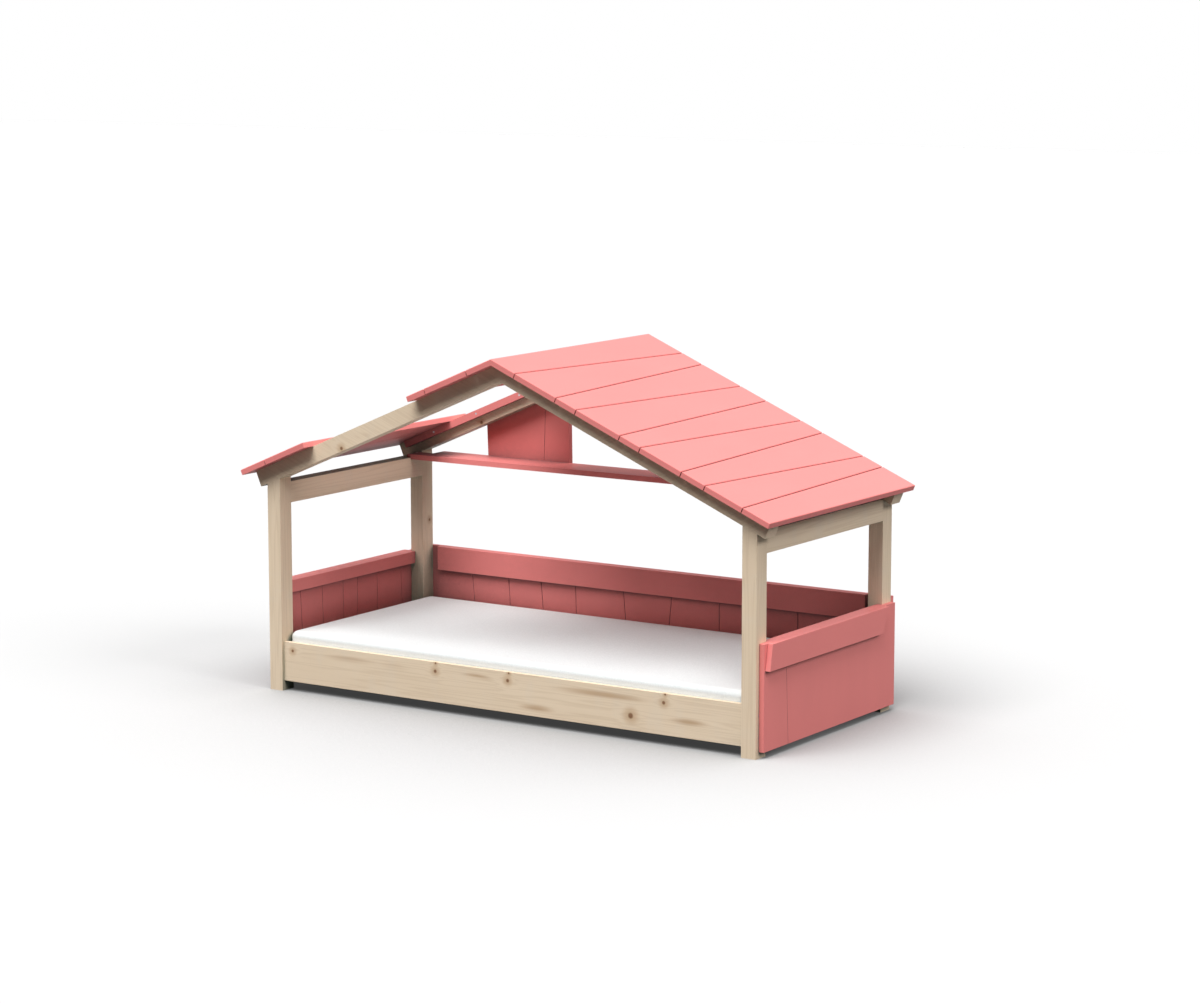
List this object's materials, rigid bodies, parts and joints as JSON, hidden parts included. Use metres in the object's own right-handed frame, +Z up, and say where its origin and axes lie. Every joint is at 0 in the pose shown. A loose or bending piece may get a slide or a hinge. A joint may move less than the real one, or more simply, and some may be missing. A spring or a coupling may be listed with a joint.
{
  "type": "house frame bed",
  "caption": "Low child's bed inside a timber house frame, with a boarded pitched roof, low boarded walls, a back shelf, a slatted base and a mattress.",
  "frame": {"origin": "on the floor, at the middle of the roof's plan", "axes": "+X along the bed to the right as seen from its open front, +Y from the open front to the back wall, +Z up"},
  "size_m": [2.2904, 1.043, 1.323],
  "materials": {
    "pine": "planed pine with a clear matt finish",
    "pink_paint": "planed boards with an opaque matt pink paint",
    "mattress_fabric": "plain white woven cover",
    "beech_dowel": "plain fluted-dowel beech, hidden",
    "zinc_steel": "zinc plated"
  },
  "bodies": {
    "root": {"back_plank": "pink_paint", "back_rail": "pine", "back_wall_boards": "pink_paint", "barrel_nuts": "zinc_steel", "batten_screws": "zinc_steel", "bearer_screws": "zinc_steel", "dowels": "beech_dowel", "eave_beam_left": "pine", "eave_beam_right": "pine", "end_rail_left": "pine", "end_rail_right": "pine", "frame_bolts": "zinc_steel", "front_rail": "pine", "gable_board_1": "pink_paint", "gable_board_2": "pink_paint", "gable_screws": "zinc_steel", "inner_plank_left": "pink_paint", "inner_plank_right": "pink_paint", "left_wall_boards": "pink_paint", "mattress": "mattress_fabric", "outer_plank_left": "pink_paint", "outer_plank_right": "pink_paint", "post_back_left": "pine", "post_back_right": "pine", "post_front_left": "pine", "post_front_right": "pine", "rafter_back_left": "pine", "rafter_back_right": "pine", "rafter_front_left": "pine", "rafter_front_right": "pine", "right_wall_boards": "pink_paint", "roof_batten_back_left": "pink_paint", "roof_batten_back_right": "pink_paint", "roof_batten_front_left": "pink_paint", "roof_batten_front_right": "pink_paint", "roof_board_left_1": "pink_paint", "roof_board_left_2": "pink_paint", "roof_board_left_3": "pink_paint", "roof_board_left_4": "pink_paint", "roof_board_left_5": "pink_paint", "roof_board_right_1": "pink_paint", "roof_board_right_2": "pink_paint", "roof_board_right_3": "pink_paint", "roof_board_right_4": "pink_paint", "roof_board_right_5": "pink_paint", "roof_board_right_6": "pink_paint", "roof_board_right_7": "pink_paint", "roof_board_right_8": "pink_paint", "roof_board_right_9": "pink_paint", "roof_board_screws": "zinc_steel", "shelf": "pink_paint", "shelf_screws": "zinc_steel", "slat_bearer_back": "pine", "slat_bearer_front": "pine", "slat_screws": "zinc_steel", "slats": "pine", "wall_board_screws": "zinc_steel"}
  },
  "joints": []
}
